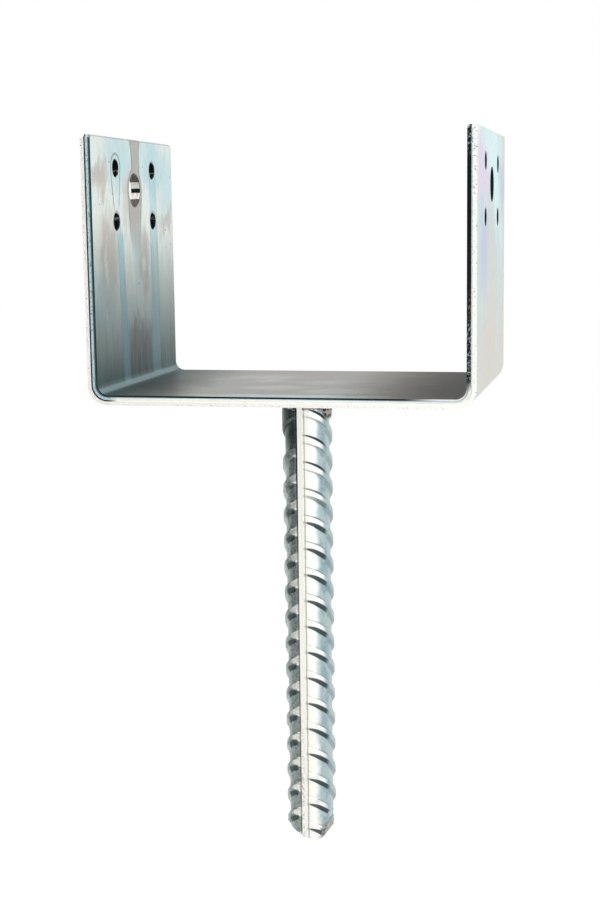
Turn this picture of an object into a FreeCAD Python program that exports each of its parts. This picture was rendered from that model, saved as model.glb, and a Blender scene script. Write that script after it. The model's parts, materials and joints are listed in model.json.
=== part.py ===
import FreeCAD
import Part

import math
import os

import Sketcher
from FreeCAD import Placement, Rotation, Vector

# Timber post base: a folded steel saddle that holds the foot of a square post,
# welded to a ribbed reinforcing bar that is cast into a concrete footing.
#
# Frame: +Z up, X across the two ears, Y along the width of the strip.
# The origin is the centre of the seat, the face that the post stands on.

SIZES = [
    # The saddle: one strip folded twice.
    ("clear_width", 151.0, "between the ears, for a 150 mm post"),
    ("ear_height", 105.0, "from the seat to the top of an ear"),
    ("strip_width", 110.0, "width of the strip along Y"),
    ("plate", 4.0, "thickness of the strip"),
    ("bend_radius", 4.3, "inside radius of the two bends"),
    ("ear_corner", 1.2, "slope across the ears' top corners"),
    ("edge_roll", 0.8, "edge pulled over by the shears, on the inner face"),
    # The holes, punched through both ears.
    ("screw_hole", 7.0, "diameter of the screw holes"),
    ("screw_gap", 49.0, "between the two columns of screw holes"),
    ("screw_low", 70.1, "height of the lower screw holes over the seat"),
    ("screw_high", 92.3, "height of the upper screw holes over the seat"),
    ("bolt_hole", 14.0, "diameter of the bolt hole"),
    ("bolt_rise", 83.4, "height of the bolt hole over the seat"),
    ("punch_roll", 0.5, "rim pulled in by the punch, on the inner face"),
    # The ribbed bar.
    ("bar_radius", 9.6, "radius of the bar's core"),
    ("bar_length", 199.0, "from the strip's underside to the sheared end"),
    ("bar_turn", 5.5, "turn of the bar about its own axis, in degrees"),
    ("seam_crest", 2.3, "width of a lengthwise rib at its crest"),
    ("seam_root", 3.3, "width of a lengthwise rib at its root"),
    ("seam_rise", 1.15, "height of a lengthwise rib over the core"),
    ("seam_sink", 0.6, "depth of a lengthwise rib's root inside the core"),
    ("rib_rise", 1.35, "height of a crescent rib at the bar's side"),
    ("rib_end", 0.25, "height of a crescent rib where it meets the seam"),
    ("rib_tilt", 43.0, "slope of the crescent ribs, in degrees"),
    ("rib_crest", 1.7, "thickness of a crescent rib at its crest"),
    ("rib_root", 6.4, "thickness of a crescent rib at its root"),
    ("rib_pitch", 11.55, "between crescent ribs along the bar"),
    ("rib_sink", 0.3, "depth of a rib's root inside the core, at the bar's side"),
    ("right_first", 4.9, "depth of the first rib of the right row"),
    ("left_first", 33.8, "depth of the first rib of the left row"),
    ("mark_depth", 14.6, "depth of the broad mark rib of the left row"),
    ("mark_crest", 5.8, "thickness of the mark rib at its crest"),
    ("mark_root", 10.6, "thickness of the mark rib at its root"),
    ("shear_rise", 5.6, "how far the sheared end climbs to the left"),
    ("shear_low", 3.6, "place of the sheared end's lowest point"),
    ("press_low", 8.2, "place of the lower end of the flat pressed on the right"),
    ("press_start", 4.0, "height of the flat's lower end over the lowest point"),
    ("press_high", 9.0, "place of the flat's upper end"),
    ("press_end", 12.0, "height of the flat's upper end over the lowest point"),
    # The weld between the bar and the strip.
    ("weld_reach", 11.5, "radius of the weld at the strip"),
    ("weld_drop", 2.0, "height of the weld on the bar"),
    ("weld_toe", 1.2, "slope at the weld's lower rim"),
]
WELD_SIDES = 10
RIGHT_RIBS = 18
LEFT_RIBS = 15
ORIGIN = (-1, 1)
H_AXIS = -1
V_AXIS = -2


def add_sheet(doc):
    """Keep the driving dimensions in a spreadsheet, one alias a row."""
    sheet = doc.addObject("Spreadsheet::Sheet", "Sizes")
    for row, (alias, value, meaning) in enumerate(SIZES, start=1):
        sheet.set(f"A{row}", alias)
        sheet.set(f"B{row}", str(value))
        sheet.set(f"C{row}", meaning)
        sheet.setAlias(f"B{row}", alias)
    doc.recompute()
    return sheet


def bind(feature, **formulas):
    """Bind a feature's properties to formulas on the sheet."""
    for name, formula in formulas.items():
        feature.setExpression(name, formula)


def new_body(doc, name, label):
    """Add an empty body whose label is the sub-part's name."""
    body = doc.addObject("PartDesign::Body", name)
    body.Label = label
    return body


def origin_item(body, role):
    """Find one of a body's own origin planes or axes."""
    return next(item for item in body.Origin.OriginFeatures if item.Role == role)


def new_sketch(body, name, plane, offset=Placement()):
    """Add a sketch on one of the body's origin planes."""
    sketch = body.newObject("Sketcher::SketchObject", name)
    sketch.AttachmentSupport = (origin_item(body, plane), [""])
    sketch.MapMode = "FlatFace"
    sketch.AttachmentOffset = offset
    return sketch


def dimension(sketch, name, constraint, formula):
    """Add a named constraint whose value follows a formula on the sheet."""
    index = sketch.addConstraint(constraint)
    sketch.renameConstraint(index, name)
    sketch.setExpression(f"Constraints.{name}", formula)


def place(sketch, name, point, x, y):
    """Hold a point at a distance from the origin; each of x and y is (value, formula)."""
    for letter, kind, along in (("x", "DistanceX", x), ("y", "DistanceY", y)):
        if along is None:
            continue
        value, formula = along
        ends = ORIGIN + point if value > 0 else point + ORIGIN
        dimension(sketch, f"{name}_{letter}", Sketcher.Constraint(kind, *ends, abs(value)), formula)


def closed_outline(sketch, corners):
    """Draw straight lines round the corners, joined at their ends."""
    first = sketch.GeometryCount
    count = len(corners)
    for start, end in zip(corners, corners[1:] + corners[:1]):
        index = sketch.addGeometry(Part.LineSegment(Vector(*start), Vector(*end)), False)
        if start[1] == end[1]:
            sketch.addConstraint(Sketcher.Constraint("Horizontal", index))
        if start[0] == end[0]:
            sketch.addConstraint(Sketcher.Constraint("Vertical", index))
    for step in range(count):
        here, after = first + step, first + (step + 1) % count
        sketch.addConstraint(Sketcher.Constraint("Coincident", here, 2, after, 1))
    return first


def extrude(body, kind, name, sketch, length, **settings):
    """Pad or pocket a sketch by a length that follows the sheet."""
    feature = body.newObject(f"PartDesign::{kind}", name)
    feature.Profile = sketch
    for key, value in settings.items():
        setattr(feature, key, value)
    bind(feature, Length=length)
    return feature


def edges_of(feature, wanted):
    """Name the edges of a feature whose box centre passes a test."""
    names = []
    for number, edge in enumerate(feature.Shape.Edges, start=1):
        if wanted(edge, edge.BoundBox.Center):
            names.append(f"Edge{number}")
    return names


def round_edges(body, name, base, wanted, radius):
    """Fillet the wanted edges of the body so far."""
    body.Document.recompute()
    fillet = body.newObject("PartDesign::Fillet", name)
    fillet.Base = (base, edges_of(base, wanted))
    bind(fillet, Radius=radius)
    return fillet


def slope_edges(body, name, base, wanted, across):
    """Chamfer the wanted edges of the body so far."""
    body.Document.recompute()
    chamfer = body.newObject("PartDesign::Chamfer", name)
    chamfer.Base = (base, edges_of(base, wanted))
    bind(chamfer, Size=across)
    return chamfer


def near(value, target):
    return abs(value - target) < 1e-4


def make_saddle(doc, size):
    """Fold the strip: outline, bends, sheared edges, then the punched holes."""
    body = new_body(doc, "Saddle", "saddle")
    half_clear = size("clear_width") / 2
    half_width = half_clear + size("plate")
    half_strip = size("strip_width") / 2
    top = size("ear_height")

    outline = new_sketch(body, "FoldOutline", "XZ_Plane")
    first = closed_outline(outline, [
        (-half_width, -size("plate")), (half_width, -size("plate")),
        (half_width, top), (half_clear, top), (half_clear, 0.0),
        (-half_clear, 0.0), (-half_clear, top), (-half_width, top),
    ])
    inner = "Sizes.clear_width / 2"
    outer = "Sizes.clear_width / 2 + Sizes.plate"
    rise = (top, "Sizes.ear_height")
    place(outline, "under_left", (first, 1), (-half_width, outer), (-size("plate"), "Sizes.plate"))
    place(outline, "under_right", (first + 1, 1), (half_width, outer), None)
    place(outline, "right_ear", (first + 3, 1), (half_clear, inner), rise)
    place(outline, "left_ear", (first + 6, 1), (-half_clear, inner), rise)
    outline.addConstraint(Sketcher.Constraint("PointOnObject", first + 4, 1, H_AXIS))
    strip = extrude(body, "Pad", "Strip", outline, "Sizes.strip_width", SideType="Symmetric")

    bends = round_edges(
        body, "InnerBends", strip,
        lambda edge, mid: near(edge.Length, size("strip_width")) and near(mid.z, 0.0),
        "Sizes.bend_radius")
    bends = round_edges(
        body, "OuterBends", bends,
        lambda edge, mid: near(edge.Length, size("strip_width")) and near(mid.z, -size("plate")),
        "Sizes.bend_radius + Sizes.plate")
    ears = slope_edges(
        body, "EarCorners", bends,
        lambda edge, mid: near(edge.Length, size("plate")) and near(mid.z, top),
        "Sizes.ear_corner")

    def on_inner_rim(edge, mid):
        box = edge.BoundBox
        inside = box.XMin > -half_clear - 1e-4 and box.XMax < half_clear + 1e-4
        rim = near(abs(mid.y), half_strip) or mid.z > top - size("ear_corner") - 1e-4
        across = near(edge.Length, size("strip_width"))
        return inside and rim and box.ZMin > -1e-4 and not across

    slope_edges(body, "RolledEdge", ears, on_inner_rim, "Sizes.edge_roll")

    holes = new_sketch(body, "EarHoles", "YZ_Plane")
    punch_holes(holes, size)
    punched = extrude(body, "Pocket", "Punched", holes,
                      "Sizes.clear_width + 4 * Sizes.plate", SideType="Symmetric")
    body.Tip = slope_edges(
        body, "PunchedRims", punched,
        lambda edge, mid: near(abs(mid.x), half_clear) and edge.isClosed(),
        "Sizes.punch_roll")
    return body


def punch_holes(sketch, size):
    """Draw the four screw holes and the bolt hole of an ear."""
    half_gap = size("screw_gap") / 2
    first = sketch.GeometryCount
    spots = [(y, z, alias) for alias in ("screw_low", "screw_high")
             for y, z in ((-half_gap, size(alias)), (half_gap, size(alias)))]
    for number, (y, z, alias) in enumerate(spots):
        circle = Part.Circle(Vector(y, z, 0), Vector(0, 0, 1), size("screw_hole") / 2)
        index = sketch.addGeometry(circle, False)
        place(sketch, f"screw{number}", (index, 3),
              (y, "Sizes.screw_gap / 2"), (z, f"Sizes.{alias}"))
        if index > first:
            sketch.addConstraint(Sketcher.Constraint("Equal", first, index))
    dimension(sketch, "screw_bore",
              Sketcher.Constraint("Diameter", first, size("screw_hole")), "Sizes.screw_hole")
    bolt = sketch.addGeometry(
        Part.Circle(Vector(0, size("bolt_rise"), 0), Vector(0, 0, 1), size("bolt_hole") / 2), False)
    sketch.addConstraint(Sketcher.Constraint("PointOnObject", bolt, 3, V_AXIS))
    place(sketch, "bolt", (bolt, 3), None, (size("bolt_rise"), "Sizes.bolt_rise"))
    dimension(sketch, "bolt_bore",
              Sketcher.Constraint("Diameter", bolt, size("bolt_hole")), "Sizes.bolt_hole")


def crescent_section(body, name, size, side, shrink, shift):
    """Draw half of the crest's ellipse, shrunk, on a plane that leans with the rib.

    shrink is (value, formula) of the crest's size; shift is (value, formula) along the bar.
    """
    lean = Placement(Vector(0, 0, shift[0]), Rotation(Vector(-1, 0, 0), size("rib_tilt")))
    sketch = new_sketch(body, name, "XY_Plane", lean)
    bind(sketch, **{"AttachmentOffset.Base.z": shift[1]})
    short = shrink[0] * (size("bar_radius") + size("rib_rise"))
    level = shrink[0] * (size("bar_radius") + size("rib_end"))
    long = level / math.cos(math.radians(size("rib_tilt")))
    ellipse = Part.Ellipse(Vector(0, long, 0), Vector(-short, 0, 0), Vector(0, 0, 0))
    start, end = (math.pi, 2 * math.pi) if side > 0 else (0.0, math.pi)
    arc = sketch.addGeometry(Part.ArcOfEllipse(ellipse, start, end), False)
    ends = [Vector(0, -side * long, 0), Vector(0, side * long, 0)]
    chord = sketch.addGeometry(Part.LineSegment(ends[1], ends[0]), False)
    sketch.addConstraint([
        Sketcher.Constraint("Coincident", arc, 3, *ORIGIN),
        Sketcher.Constraint("Coincident", arc, 2, chord, 1),
        Sketcher.Constraint("Coincident", chord, 2, arc, 1),
    ])
    sketch.exposeInternalGeometry(arc)
    major, minor = chord + 1, chord + 2
    sketch.addConstraint(Sketcher.Constraint("Vertical", major))
    dimension(sketch, "along_slope", Sketcher.Constraint("Distance", major, 2 * long),
              f"2 * {shrink[1]} * (Sizes.bar_radius + Sizes.rib_end) / cos(Sizes.rib_tilt)")
    dimension(sketch, "across", Sketcher.Constraint("Distance", minor, 2 * short),
              f"2 * {shrink[1]} * (Sizes.bar_radius + Sizes.rib_rise)")
    sketch.addConstraint(Sketcher.Constraint("PointOnObject", arc, 1, V_AXIS))
    sketch.addConstraint(Sketcher.Constraint("PointOnObject", arc, 2, V_AXIS))
    return sketch


def crescent_rib(body, name, size, side, depth, crest, root):
    """Loft one leaning crescent rib: root, crest, crest, root."""
    slope = math.cos(math.radians(size("rib_tilt")))
    high = (1.0, "1")
    sunk = ((size("bar_radius") - size("rib_sink")) / (size("bar_radius") + size("rib_rise")),
            "(Sizes.bar_radius - Sizes.rib_sink) / (Sizes.bar_radius + Sizes.rib_rise)")
    sections = []
    for number, (sign, width, shrink) in enumerate(
            ((-1, root, sunk), (-1, crest, high), (1, crest, high), (1, root, sunk))):
        shift = -size(depth) + sign * size(width) / 2 / slope
        formula = f"-Sizes.{depth} + {sign} * Sizes.{width} / 2 / cos(Sizes.rib_tilt)"
        sections.append(crescent_section(
            body, f"{name}Section{number}", size, side, shrink, (shift, formula)))
    rib = body.newObject("PartDesign::AdditiveLoft", name)
    rib.Profile = sections[0]
    rib.Sections = sections[1:]
    rib.Ruled = True
    return rib


def repeat_down(body, name, feature, count):
    """Repeat a rib down the bar at the rib pitch."""
    row = body.newObject("PartDesign::LinearPattern", name)
    row.Originals = [feature]
    row.Direction = (origin_item(body, "Z_Axis"), [""])
    row.Reversed = True
    row.Mode = "Spacing"
    row.Occurrences = count
    bind(row, Offset="Sizes.rib_pitch")
    body.Tip = row
    return row


def round_bar(body, size):
    """Pad the bar's round core down from its top."""
    sketch = new_sketch(body, "CoreCircle", "XY_Plane")
    circle = sketch.addGeometry(
        Part.Circle(Vector(0, 0, 0), Vector(0, 0, 1), size("bar_radius")), False)
    sketch.addConstraint(Sketcher.Constraint("Coincident", circle, 3, *ORIGIN))
    dimension(sketch, "core", Sketcher.Constraint("Radius", circle, size("bar_radius")),
              "Sizes.bar_radius")
    return extrude(body, "Pad", "Core", sketch, "Sizes.bar_length", Reversed=True)


def lengthwise_ribs(body, size):
    """Pad the rib that the rolls leave at the front, and repeat it at the back."""
    foot = size("bar_radius") - size("seam_sink")
    crest = size("bar_radius") + size("seam_rise")
    half_root, half_crest = size("seam_root") / 2, size("seam_crest") / 2
    sketch = new_sketch(body, "SeamOutline", "XY_Plane")
    first = closed_outline(sketch, [
        (-half_root, -foot), (-half_crest, -crest), (half_crest, -crest), (half_root, -foot)])
    foot_formula = "Sizes.bar_radius - Sizes.seam_sink"
    crest_formula = "Sizes.bar_radius + Sizes.seam_rise"
    place(sketch, "foot_left", (first, 1),
          (-half_root, "Sizes.seam_root / 2"), (-foot, foot_formula))
    place(sketch, "crest_left", (first + 1, 1),
          (-half_crest, "Sizes.seam_crest / 2"), (-crest, crest_formula))
    place(sketch, "crest_right", (first + 2, 1), (half_crest, "Sizes.seam_crest / 2"), None)
    place(sketch, "foot_right", (first + 3, 1), (half_root, "Sizes.seam_root / 2"), None)
    seam = extrude(body, "Pad", "Seam", sketch, "Sizes.bar_length", Reversed=True)
    pair = body.newObject("PartDesign::PolarPattern", "Seams")
    pair.Originals = [seam]
    pair.Axis = (origin_item(body, "Z_Axis"), [""])
    pair.Occurrences = 2
    body.Tip = pair


def clear_top(body, size, name):
    """Cut away whatever rises over the body's top plane."""
    reach = 3 * size("bar_radius")
    sketch = new_sketch(body, f"{name}Circle", "XY_Plane")
    circle = sketch.addGeometry(Part.Circle(Vector(0, 0, 0), Vector(0, 0, 1), reach), False)
    sketch.addConstraint(Sketcher.Constraint("Coincident", circle, 3, *ORIGIN))
    dimension(sketch, "reach", Sketcher.Constraint("Radius", circle, reach),
              "3 * Sizes.bar_radius")
    body.Tip = extrude(body, "Pocket", name, sketch, "3 * Sizes.bar_radius", Reversed=True)


def tangent_arc(start, before, end):
    """Arc that leaves `start` in the line of `before`-`start` and finishes at `end`."""
    along = (start - before).normalize()
    normal = Vector(-along.y, along.x, 0)
    chord = end - start
    radius = chord.dot(chord) / (2 * chord.dot(normal))
    centre = start + normal * radius
    middle = ((start - centre).normalize() + (end - centre).normalize()).normalize()
    return Part.Arc(start, centre + middle * radius, end)


def shear_end(body, size):
    """Cut the lower end as the shears leave it: sloped to the left, round and flattened right."""
    length, low = size("bar_length"), size("shear_low")
    reach = size("bar_radius") + 2 * size("rib_rise")
    side = "Sizes.bar_radius + 2 * Sizes.rib_rise"
    left = Vector(-reach, size("shear_rise") - length, 0)
    lowest = Vector(low, -length, 0)
    flat = Vector(size("press_low"), size("press_start") - length, 0)
    flat_end = Vector(size("press_high"), size("press_end") - length, 0)
    out = Vector(reach, flat_end.y, 0)
    under = -length - 3 * size("bar_radius")
    corners = [flat, flat_end, out, Vector(reach, under, 0), Vector(-reach, under, 0), left, lowest]
    sketch = new_sketch(body, "ShearOutline", "XZ_Plane")
    sketch.addGeometry(
        [Part.LineSegment(start, end) for start, end in zip(corners, corners[1:])], False)
    last = len(corners) - 1
    sketch.addGeometry(tangent_arc(lowest, left, flat), False)
    for line in range(1, last):
        sketch.addConstraint(Sketcher.Constraint("Coincident", line - 1, 2, line, 1))
    sketch.addConstraint([
        Sketcher.Constraint("Tangent", last - 1, 2, last, 1),
        Sketcher.Constraint("Coincident", last, 2, 0, 1),
        Sketcher.Constraint("Horizontal", 1),
        Sketcher.Constraint("Vertical", 2),
        Sketcher.Constraint("Horizontal", 3),
        Sketcher.Constraint("Vertical", 4),
    ])
    place(sketch, "flat", (0, 1), (flat.x, "Sizes.press_low"),
          (flat.y, "Sizes.bar_length - Sizes.press_start"))
    place(sketch, "flat_end", (1, 1), (flat_end.x, "Sizes.press_high"),
          (flat_end.y, "Sizes.bar_length - Sizes.press_end"))
    place(sketch, "out", (2, 1), (reach, side), None)
    place(sketch, "under", (4, 1), (-reach, side),
          (under, "Sizes.bar_length + 3 * Sizes.bar_radius"))
    place(sketch, "left", (5, 1), None, (left.y, "Sizes.bar_length - Sizes.shear_rise"))
    place(sketch, "lowest", (5, 2), (low, "Sizes.shear_low"), (-length, "Sizes.bar_length"))
    body.Tip = extrude(body, "Pocket", "Shorn", sketch, "4 * Sizes.bar_radius",
                       SideType="Symmetric")


def make_bar(doc, size):
    """Build the ribbed bar: core, lengthwise ribs, two rows of crescents, sheared end."""
    body = new_body(doc, "AnchorBar", "anchor_bar")
    round_bar(body, size)
    lengthwise_ribs(body, size)
    right = crescent_rib(body, "RightRib", size, 1, "right_first", "rib_crest", "rib_root")
    repeat_down(body, "RightRow", right, RIGHT_RIBS)
    left = crescent_rib(body, "LeftRib", size, -1, "left_first", "rib_crest", "rib_root")
    repeat_down(body, "LeftRow", left, LEFT_RIBS)
    body.Tip = crescent_rib(body, "MarkRib", size, -1, "mark_depth", "mark_crest", "mark_root")
    clear_top(body, size, "FlatTop")
    shear_end(body, size)
    body.Placement.Rotation = Rotation(Vector(0, 0, 1), -size("bar_turn"))
    bind(body, **{"Placement.Base.z": "-Sizes.plate"})
    return body


def make_weld(doc, size, bar):
    """Lay a tapered bead round the top of the bar and cut the bar's own shape out of it."""
    ring = new_body(doc, "WeldRing", "weld_ring")
    reach = size("weld_reach")
    sketch = new_sketch(ring, "WeldOutline", "XY_Plane")
    rim = sketch.addGeometry(Part.Circle(Vector(0, 0, 0), Vector(0, 0, 1), reach), True)
    sketch.addConstraint(Sketcher.Constraint("Coincident", rim, 3, *ORIGIN))
    dimension(sketch, "reach", Sketcher.Constraint("Radius", rim, reach), "Sizes.weld_reach")
    turns = [2 * math.pi * side / WELD_SIDES for side in range(WELD_SIDES)]
    first = closed_outline(
        sketch, [(reach * math.cos(turn), reach * math.sin(turn)) for turn in turns])
    for side in range(first, first + WELD_SIDES):
        sketch.addConstraint(Sketcher.Constraint("PointOnObject", side, 1, rim))
        if side > first:
            sketch.addConstraint(Sketcher.Constraint("Equal", first, side))
    sketch.addConstraint(Sketcher.Constraint("PointOnObject", first, 1, H_AXIS))
    bead = extrude(ring, "Pad", "Bead", sketch, "Sizes.weld_drop", Reversed=True)
    ring.Tip = slope_edges(
        ring, "Toe", bead,
        lambda edge, mid: near(edge.BoundBox.ZMax, -size("weld_drop")), "Sizes.weld_toe")
    bind(ring, **{"Placement.Base.z": "-Sizes.plate"})

    weld = doc.addObject("Part::Cut", "WeldCollar")
    weld.Base = ring
    weld.Tool = bar
    weld.Label = "weld_collar"
    return weld


def check(doc, parts):
    """Stop if any object failed or any sub-part is not one sound solid."""
    for item in doc.Objects:
        if "Invalid" in item.State or "Error" in item.State:
            raise RuntimeError(f"{item.Label} is in state {item.State}")
    for part in parts:
        shape = part.Shape
        if shape.isNull() or not shape.isValid() or len(shape.Solids) != 1:
            raise RuntimeError(f"{part.Label} is not one valid solid")
        box = shape.BoundBox
        print(f"{part.Label}: {shape.Volume:.0f} mm3, {len(shape.Faces)} faces, "
              f"X {box.XMin:.2f}..{box.XMax:.2f} Y {box.YMin:.2f}..{box.YMax:.2f} "
              f"Z {box.ZMin:.2f}..{box.ZMax:.2f}")


def main():
    doc = FreeCAD.newDocument("TimberPostBase")
    sheet = add_sheet(doc)

    def size(alias):
        return float(sheet.get(alias))

    saddle = make_saddle(doc, size)
    bar = make_bar(doc, size)
    weld = make_weld(doc, size, bar)
    doc.recompute()
    parts = [saddle, bar, weld]
    check(doc, parts)
    os.makedirs("parts", exist_ok=True)
    for part in parts:
        part.Shape.exportStep(f"parts/{part.Label}.step")


main()
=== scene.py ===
"""Timber post base: finishes for the folded strip and the ribbed bar, the weld bead between them,
and a plain white studio. Run as a script in Blender 4.5."""

import json
import math

import bpy
from mathutils import Euler, Matrix, Vector


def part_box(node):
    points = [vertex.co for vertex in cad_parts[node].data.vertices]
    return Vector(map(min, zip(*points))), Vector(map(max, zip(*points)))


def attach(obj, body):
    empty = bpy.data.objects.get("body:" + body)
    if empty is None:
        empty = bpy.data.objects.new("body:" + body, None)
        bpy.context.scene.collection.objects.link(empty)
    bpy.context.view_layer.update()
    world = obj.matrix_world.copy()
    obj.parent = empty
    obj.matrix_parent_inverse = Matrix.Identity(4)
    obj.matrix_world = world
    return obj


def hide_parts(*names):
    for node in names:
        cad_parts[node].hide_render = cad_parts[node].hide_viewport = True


bl_info = {
    "name": "Timber Post Base",
    "version": (1, 0, 0),
    "blender": (4, 5, 0),
    "location": "3D View > Sidebar > Post Base",
    "description": "Finishes, weld bead and studio for a timber post base with a ribbed bar",
    "category": "Object",
}

MM = 1000.0  # millimetres in a metre
WHITE = (1.0, 1.0, 1.0, 1.0)
BLACK = (0.0, 0.0, 0.0, 1.0)
FLOOR_DARK = (0.93, 0.93, 0.93, 1.0)
FLOOR_PALE = (0.95, 0.95, 0.95, 1.0)

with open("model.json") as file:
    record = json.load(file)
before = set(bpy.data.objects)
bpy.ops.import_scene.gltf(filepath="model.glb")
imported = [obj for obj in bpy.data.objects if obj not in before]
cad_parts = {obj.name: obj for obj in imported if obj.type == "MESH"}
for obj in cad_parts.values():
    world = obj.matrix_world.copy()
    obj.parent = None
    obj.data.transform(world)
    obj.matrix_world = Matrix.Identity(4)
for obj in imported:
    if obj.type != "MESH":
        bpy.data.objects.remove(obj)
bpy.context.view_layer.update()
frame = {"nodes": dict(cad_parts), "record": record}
STRIP_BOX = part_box("saddle")
BAR_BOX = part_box("anchor_bar")
MOUNTS = {mount["name"]: mount for mount in frame["record"]["mounts"]}
BOLT = MOUNTS["through_bolt"]
SCREWS = MOUNTS["left_screws"]

# Places on the strip, in millimetres, as the materials read them.
EAR_TOP = MM * STRIP_BOX[1][2]
STRIP_END = MM * STRIP_BOX[1][0]
STRIP_UNDER = MM * STRIP_BOX[0][2]
BAR_END = MM * BAR_BOX[0][2]
BOLT_RISE = MM * BOLT["pos_m"][2]
BOLT_RADIUS = BOLT["dims"]["r_mm"]
SCREW_SIDE = SCREWS["dims"]["spacing_x_mm"] / 2
SCREW_HALF = SCREWS["dims"]["spacing_y_mm"] / 2
SCREW_MID = MM * SCREWS["pos_m"][2]
SCREW_HIGH = SCREW_MID + SCREW_HALF
SCREW_LOW = SCREW_MID - SCREW_HALF
SCREW_RADIUS = SCREWS["dims"]["hole_r_mm"]

# Stains, each laid over the ones before it: the name of its colour, its strength, its middle
# across and up the face, and its half width and half height, in millimetres.
INNER_STAINS = (
    ("cyan", 0.75, -20.0, 96.0, 20.0, 13.0),
    ("cyan", 0.9, 24.0, 94.0, 18.0, 12.0),
    ("cyan", 0.6, 46.0, 86.0, 12.0, 16.0),
    ("warm", 0.85, -44.0, 88.0, 9.0, 7.0),
    ("warm", 0.9, -38.0, 62.0, 14.0, 13.0),
    ("warm", 0.8, -37.0, 48.0, 11.0, 13.0),
    ("warm", 0.6, -9.0, 78.0, 5.0, 12.0),
    ("warm", 0.8, 43.0, 70.0, 11.0, 5.0),
    ("pale", 0.6, -49.0, 64.0, 5.0, 14.0),
    ("cyan", 0.8, 2.0, 60.0, 7.0, 16.0),
    ("warm", 0.95, 11.0, 52.0, 6.5, 14.0),
    ("pale", 0.7, 11.0, 51.0, 2.0, 6.0),
    ("pale", 0.6, -38.0, 52.0, 2.0, 10.0),
    ("pale", 0.5, 45.0, 50.0, 11.0, 14.0),
    ("cyan", 0.6, -47.0, 37.0, 8.0, 14.0),
    ("cyan", 0.5, -33.0, 38.0, 3.0, 12.0),
)
OUTER_STAINS = (
    ("cyan", 0.5, -10.0, 62.0, 50.0, 22.0),
    ("blush", 1.0, -54.0, 100.0, 12.0, 18.0),
    ("cyan_pale", 1.0, -4.0, 98.0, 44.0, 12.0),
    ("cyan_pale", 0.9, 14.0, 84.0, 20.0, 16.0),
    ("lavender", 1.0, -33.0, 85.0, 19.0, 13.0),
    ("lavender", 0.9, -46.0, 80.0, 9.0, 12.0),
    ("violet", 0.9, 44.0, 84.0, 14.0, 9.0),
    ("cyan", 0.7, -42.0, 71.0, 13.0, 8.0),
    ("violet", 1.0, -30.0, 59.0, 17.0, 14.0),
    ("violet", 0.6, -38.0, 44.0, 7.0, 8.0),
    ("cyan_pale", 0.8, 30.0, 66.0, 14.0, 12.0),
    ("cyan", 0.6, -45.0, 34.0, 9.0, 12.0),
    ("beige", 0.6, 2.0, 40.0, 24.0, 34.0),
    ("beige", 0.9, -12.0, 14.0, 34.0, 18.0),
    ("beige", 0.9, 36.0, 10.0, 22.0, 24.0),
    ("cyan", 0.8, 29.0, 50.0, 5.0, 40.0),
)
SEAT_STAINS = (
    ("seat_pale", 0.9, -24.0, 16.0, 16.0, 17.0),
    ("seat_pale", 0.6, -42.0, -6.0, 9.0, 26.0),
    ("seat", 0.9, -30.0, 8.0, 7.0, 10.0),
    ("seat_pale", 0.9, -12.0, -20.0, 14.0, 8.0),
    ("seat", 0.9, -10.0, -34.0, 10.0, 8.0),
    ("seat_pale", 0.8, 22.0, -30.0, 14.0, 10.0),
    ("seat_pale", 0.6, 8.0, 4.0, 14.0, 8.0),
    ("cyan", 0.5, 10.0, -50.0, 46.0, 6.0),
)


def shade(red, green, blue):
    """The linear colour that a shader reads, from screen values of 0 to 255."""
    linear = []
    for channel in (red, green, blue):
        value = channel / 255.0
        linear.append(value / 12.92 if value <= 0.04045 else ((value + 0.055) / 1.055) ** 2.4)
    return (*linear, 1.0)


def colour(name, description, *screen):
    """A colour property with its default given as screen values."""
    return bpy.props.FloatVectorProperty(
        name=name, description=description, subtype="COLOR", size=4, min=0.0, max=1.0,
        default=shade(*screen))


def length(name, description, metres):
    """A length property in metres."""
    return bpy.props.FloatProperty(
        name=name, description=description, subtype="DISTANCE", unit="LENGTH", precision=4,
        default=metres)


def angle(name, description, degrees):
    """An angle property with its default given in degrees."""
    return bpy.props.FloatProperty(
        name=name, description=description, subtype="ANGLE", unit="ROTATION",
        default=math.radians(degrees))


def number(name, description, value, low=0.0, high=1.0):
    """A plain number property between two limits."""
    return bpy.props.FloatProperty(
        name=name, description=description, min=low, max=high, default=value)


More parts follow.
